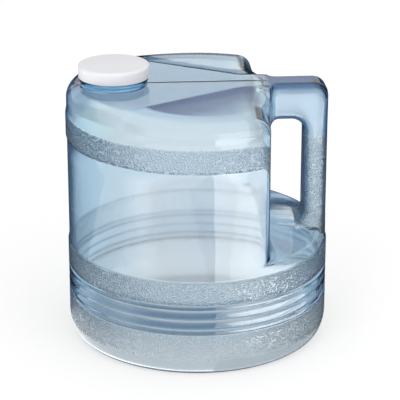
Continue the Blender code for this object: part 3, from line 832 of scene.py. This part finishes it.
def addSkin(bm, skin, layers):
    columns = allColumns(skin)

    def label(vert, grain, toneAndShade):
        outer = 1.0 if skin["outer"] else 0.0
        x, y, z = vert.co
        # where the crown's painted shade goes, fading at its foot, above the roof, beside the handle and
        # away from the middle
        above, aboveRun = bluePlastic["crownAbove"]
        crown = risesFrom(z, *bluePlastic["crownFoot"]) * fadesAt(z, skin["top"] + above, aboveRun)
        crown *= fadesAt(x, *bluePlastic["crownEnd"])
        crown *= fadesAt(math.hypot(x, y), *bluePlastic["crownReach"])
        vert[layers["grain"]] = grain * outer
        vert[layers["haze"]] = 1 - outer
        vert[layers["deepen"]] = outer * risesFrom(z, *bluePlastic["tintFoot"])
        vert[layers["crown"]] = crown
        vert[layers["toneAndShade"]] = (*toneAndShade, 1.0)

    rows = baseRows(skin) + ribRows(skin)
    footRow = len(rows)
    rows += pocketRows(skin) + upperRows(skin)
    armRow = len(rows) + jugSteps["shoulder"]
    rows += crownRows(skin) + neckRows(skin)

    def place(r, c):
        return rows[r][0](columns[c])

    lines = addSheet(bm, len(rows) - 1, len(columns) - 1, place)
    for line, row in zip(lines, rows):
        grain = row[1]
        # grained rows without a tone of their own get the bands' painted light
        toneAndShade = row[2] if len(row) > 2 else [mix(1.0, part, grain) for part in bluePlastic["bandPaintedLight"]]
        for vert, column in zip(line, columns):
            label(vert, grain, toneAndShade(column) if callable(toneAndShade) else toneAndShade)
    side, deep = jugSteps["across"], handleDeep()
    middle = len(columns) // 2
    armPatch = [[(armRow - k, middle + i) for i in range(-side, side + 1)] for k in range(deep + 1)]
    footPatch = [[(footRow + k, middle + i) for i in range(-side, side + 1)] for k in range(deep + 1)]
    for patch in (armPatch, footPatch):
        inside = {lines[r][c] for row in patch for r, c in row}
        faces = [face for face in bm.faces if inside.issuperset(face.verts)]
        bmesh.ops.delete(bm, geom=faces, context="FACES")
    sections = handleSections(skin)
    stations = handleStations()

    def placeHandle(r, c):
        across, k = stations[c % len(stations)]
        if r == 0:
            return place(*armPatch[k][across + side])
        if r > len(sections):
            return place(*footPatch[k][across + side])
        return sectionPoint(skin, (across, k), *sections[r - 1][:4])

    tube = addSheet(bm, len(sections) + 1, len(stations), placeHandle)
    for line, section in zip(tube[1:], sections):
        # painted light and shade round each handle section, darker at its rounded edges
        middleShading, outsideShading, gapShading = bluePlastic["gripLightAndShade" if section[4] else "armLightAndShade"]
        for vert, (across, k) in zip(line, stations + stations[:1]):
            rounded = ease(abs(2 * k / deep - 1)) ** 2 if abs(across) == side else 1.0
            edgeShading = outsideShading if 2 * k < deep else gapShading
            label(vert, section[4], [mix(*pair, rounded) for pair in zip(middleShading, edgeShading)])
    return lines[-1]


def makeJug(material):
    bm = bmesh.new()
    floatNames = ("grain", "haze", "deepen", "crown")
    for name in floatNames:
        bm.verts.layers.float.new(name)
    bm.verts.layers.float_color.new("toneAndShade")
    # looked up only now, because a new layer moves the ones before it
    layers = {name: bm.verts.layers.float[name] for name in floatNames}
    layers["toneAndShade"] = bm.verts.layers.float_color["toneAndShade"]
    outer = outerSkin()
    rims = [addSkin(bm, skin, layers) for skin in (outer, innerSkin(outer))]
    addSheet(bm, 1, len(rims[0]) - 1, lambda r, c: rims[r][c].co.copy())
    bmesh.ops.remove_doubles(bm, verts=bm.verts, dist=tiny)
    bmesh.ops.recalc_face_normals(bm, faces=bm.faces)
    return finishMesh("jug_shell", bm, material, "jug", "jug_body")


# the cap and its liner

cap = {
    "wall": 0.0016,
    "edge": 0.0020, "edgeSteps": 8, "footEdge": 0.0004, "footSteps": 3,
    "steps": 128,
}
liner = {"edge": 0.0002, "steps": 128}


def spinProfile(bm, profile, steps):
    # profile of (radius, height) about the neck's axis
    points = [bm.verts.new((neckX + radius, 0, height)) for radius, height in profile]
    edges = [bm.edges.new(pair) for pair in zip(points, points[1:])]
    bmesh.ops.spin(bm, geom=points + edges, cent=(neckX, 0, 0), axis=(0, 0, 1),
                   angle=2 * math.pi, steps=steps, use_merge=True)
    bmesh.ops.remove_doubles(bm, verts=bm.verts, dist=tiny)
    bmesh.ops.recalc_face_normals(bm, faces=bm.faces)


def makeCap(material):
    radius = (capHigh.x - capLow.x) / 2
    foot, top = capLow.z, capHigh.z
    edge, footEdge = cap["edge"], cap["footEdge"]
    bore, innerTop = radius - cap["wall"], top - cap["wall"]
    profile = [(0.0, top)]
    for turn in reversed(quarter(cap["edgeSteps"])):
        profile.append((radius - edge * (1 - math.cos(turn)), top - edge * (1 - math.sin(turn))))
    for turn in quarter(cap["footSteps"]):
        profile.append((radius - footEdge * (1 - math.cos(turn)), foot + footEdge * (1 - math.sin(turn))))
    profile += [(bore, foot), (bore, innerTop), (0.0, innerTop)]
    bm = bmesh.new()
    spinProfile(bm, profile, cap["steps"])
    return finishMesh("cap_shell", bm, material, "cap", "screw_cap")


def makeLiner(material):
    radius = (linerHigh.x - linerLow.x) / 2
    foot, top, edge = linerLow.z, linerHigh.z, liner["edge"]
    profile = [(0.0, top), (radius - edge, top), (radius, top - edge), (radius, foot + edge),
               (radius - edge, foot), (0.0, foot)]
    bm = bmesh.new()
    spinProfile(bm, profile, liner["steps"])
    return finishMesh("liner_disc", bm, material, "liner", "cap_liner")


makeJug(makeBluePlastic())
makeCap(makeWhite("whiteCapPlastic", whitePlastic))
makeLiner(makeWhite("linerFoam", foam))


# studio: floor, light and camera

studio = {
    "floorHalf": 6.0, "floorDrop": 0.0003, "floorColour": (0.5, 0.5, 0.5, 1.0),
    "shownShare": 0.55,   # of the floor's white that doesn't depend on the light
    "domeStrength": 0.85,
    "flagColour": (0.035, 0.05, 0.08, 1.0),
    "aimHeight": 0.15,   # where the softboxes point
    "cardHeight": 0.004,
    "ringPower": 1.5,    # of a ring's share of its card, for how much it shines
    "turned": 3.9,       # degrees by which the handle points away from the camera
    "cameraBack": 1.5420, "cameraHeight": 0.7033, "cameraTilt": 69.197, "cameraPan": -0.091,
    "lens": 168.49, "sensorWidth": 36.0,
}
upright = (math.pi / 2, 0, 0)
facingSides = (math.pi / 2, 0, math.pi / 2)
# dark cards round the set, the side ones also seen through the plastic
flags = {
    "frontFlag": {"size": (4.0, 4.0), "place": (0, 0, 0.0002), "turn": (0, 0, 0), "seenThrough": False},
    "backFlag": {"size": (4.0, 0.46), "place": (0, 1.6, 0.23), "turn": upright, "seenThrough": False},
    "sideFlagLeft": {"size": (3.0, 2.4), "place": (-1.6, 0, 1.2), "turn": facingSides, "seenThrough": True},
    "sideFlagRight": {"size": (3.0, 2.4), "place": (1.6, 0, 1.2), "turn": facingSides, "seenThrough": True},
}
# places from here on are to the right of the camera's view, along it and up
softboxes = {
    "leftSoftbox": {"place": (-0.9, -1.6, 1.7), "size": (1.0, 1.0), "power": 9.0, "inPlastic": False},
    "rightSoftbox": {"place": (1.0, -1.25, 0.65), "size": (1.2, 1.3), "power": 8.5, "inPlastic": True},
}
# low lit cards on the floor that the walls mirror
floorCards = {
    "rightCard": {"shape": "RECTANGLE", "place": (0.501, -0.944), "size": (0.50, 1.80),
                  "azimuth": 15.2, "power": 10.5},
    "rightCardSide": {"shape": "ELLIPSE", "place": (0.377, -0.300), "size": (0.36, 0.60),
                      "azimuth": 58.0, "power": 0.80},
    "leftCard": {"shape": "ELLIPSE", "place": (-0.345, -0.370), "size": (0.66, 0.90),
                 "azimuth": -44.0, "power": 1.6, "rings": 5},   # rings on rings, so that its edge is soft
    "rightCardFoot": {"shape": "ELLIPSE", "place": (0.169, -0.132), "size": (0.26, 0.15),
                      "azimuth": 52.0, "power": 0.45},
}


def fromCamera(x, y):
    # a place given to the right of the camera's view and along it
    turned = math.radians(studio["turned"])
    return (x * math.cos(turned) + y * math.sin(turned), y * math.cos(turned) - x * math.sin(turned))


def makeFloor():
    bm = bmesh.new()
    bmesh.ops.create_grid(bm, x_segments=1, y_segments=1, size=studio["floorHalf"])
    bmesh.ops.translate(bm, verts=bm.verts, vec=(0, 0, -studio["floorDrop"]))
    mesh = bpy.data.meshes.new("floor")
    bm.to_mesh(mesh)
    bm.free()
    floor = bpy.data.objects.new("floor", mesh)
    bpy.context.scene.collection.objects.link(floor)
    material, shader = newMaterial("paleFloor")
    tree = material.node_tree
    tree.nodes.remove(shader)
    lit = addNode(tree, "ShaderNodeBsdfDiffuse")
    lit.inputs["Color"].default_value = studio["floorColour"]
    glow = addNode(tree, "ShaderNodeEmission")
    glow.inputs["Strength"].default_value = studio["shownShare"]
    white = addNode(tree, "ShaderNodeAddShader")
    tree.links.new(lit.outputs[0], white.inputs[0])
    tree.links.new(glow.outputs[0], white.inputs[1])
    tree.links.new(white.outputs[0], tree.nodes["Material Output"].inputs["Surface"])
    mesh.materials.append(material)


def makeWorld():
    world = bpy.data.worlds.new("studio")
    bpy.context.scene.world = world
    world.use_nodes = True
    back = world.node_tree.nodes["Background"]
    back.inputs["Color"].default_value = (1, 1, 1, 1)
    back.inputs["Strength"].default_value = studio["domeStrength"]


def addFlag(name, size, place, turn, seenThrough):
    # a dark card round the set that shows only in the plastic, as a dim studio would
    bm = bmesh.new()
    bmesh.ops.create_grid(bm, x_segments=1, y_segments=1, size=0.5)
    bmesh.ops.scale(bm, vec=(*size, 1), verts=bm.verts)
    bmesh.ops.rotate(bm, matrix=Euler(turn).to_matrix(), verts=bm.verts)
    bmesh.ops.translate(bm, vec=place, verts=bm.verts)
    mesh = bpy.data.meshes.new(name)
    bm.to_mesh(mesh)
    bm.free()
    flag = bpy.data.objects.new(name, mesh)
    bpy.context.scene.collection.objects.link(flag)
    material, shader = newMaterial(name + "Cloth")
    shader.inputs["Base Color"].default_value = (0, 0, 0, 1)
    shader.inputs["Specular IOR Level"].default_value = 0.0
    shader.inputs["Emission Color"].default_value = studio["flagColour"]
    shader.inputs["Emission Strength"].default_value = 1.0
    mesh.materials.append(material)
    flag.visible_camera = False
    flag.visible_diffuse = False
    flag.visible_shadow = False
    flag.visible_transmission = seenThrough


def addLamp(name, shape, size, power, place, turn):
    light = bpy.data.lights.new(name, "AREA")
    light.shape = shape
    light.size, light.size_y = size
    light.energy = power
    lamp = bpy.data.objects.new(name, light)
    lamp.location = place
    lamp.rotation_euler = turn
    lamp.visible_camera = False
    lamp.visible_transmission = False
    bpy.context.scene.collection.objects.link(lamp)
    return lamp


def addSoftbox(name, place, size, power, inPlastic):
    spot = Vector((*fromCamera(*place[:2]), place[2]))
    aim = (Vector((0, 0, studio["aimHeight"])) - spot).to_track_quat("-Z", "Y").to_euler()
    lamp = addLamp(name, "RECTANGLE", size, power, spot, aim)
    lamp.visible_glossy = inPlastic


def addFloorCard(name, shape, place, size, azimuth, power, rings=1):
    spot = Vector((*fromCamera(*place), studio["cardHeight"]))
    turn = (math.pi, 0, math.radians(azimuth - studio["turned"]))   # facing up
    for ring in range(1, rings + 1):
        share = ring / rings
        ringName = name + str(ring) if rings > 1 else name
        ringSize = [length * share for length in size]
        addLamp(ringName, shape, ringSize, power * share ** studio["ringPower"], spot, turn)


def makeCamera():
    data = bpy.data.cameras.new("camera")
    data.sensor_width = studio["sensorWidth"]
    data.lens = studio["lens"]
    camera = bpy.data.objects.new("camera", data)
    camera.location = (*fromCamera(0, -studio["cameraBack"]), studio["cameraHeight"])
    pan = studio["cameraPan"] - studio["turned"]
    camera.rotation_euler = (math.radians(studio["cameraTilt"]), 0, math.radians(pan))
    bpy.context.scene.collection.objects.link(camera)
    bpy.context.scene.camera = camera


makeFloor()
makeWorld()
for name, values in flags.items():
    addFlag(name, **values)
for name, values in softboxes.items():
    addSoftbox(name, **values)
for name, values in floorCards.items():
    addFloorCard(name, **values)
makeCamera()
bpy.context.scene.view_settings.view_transform = "Standard"
print("studio made")
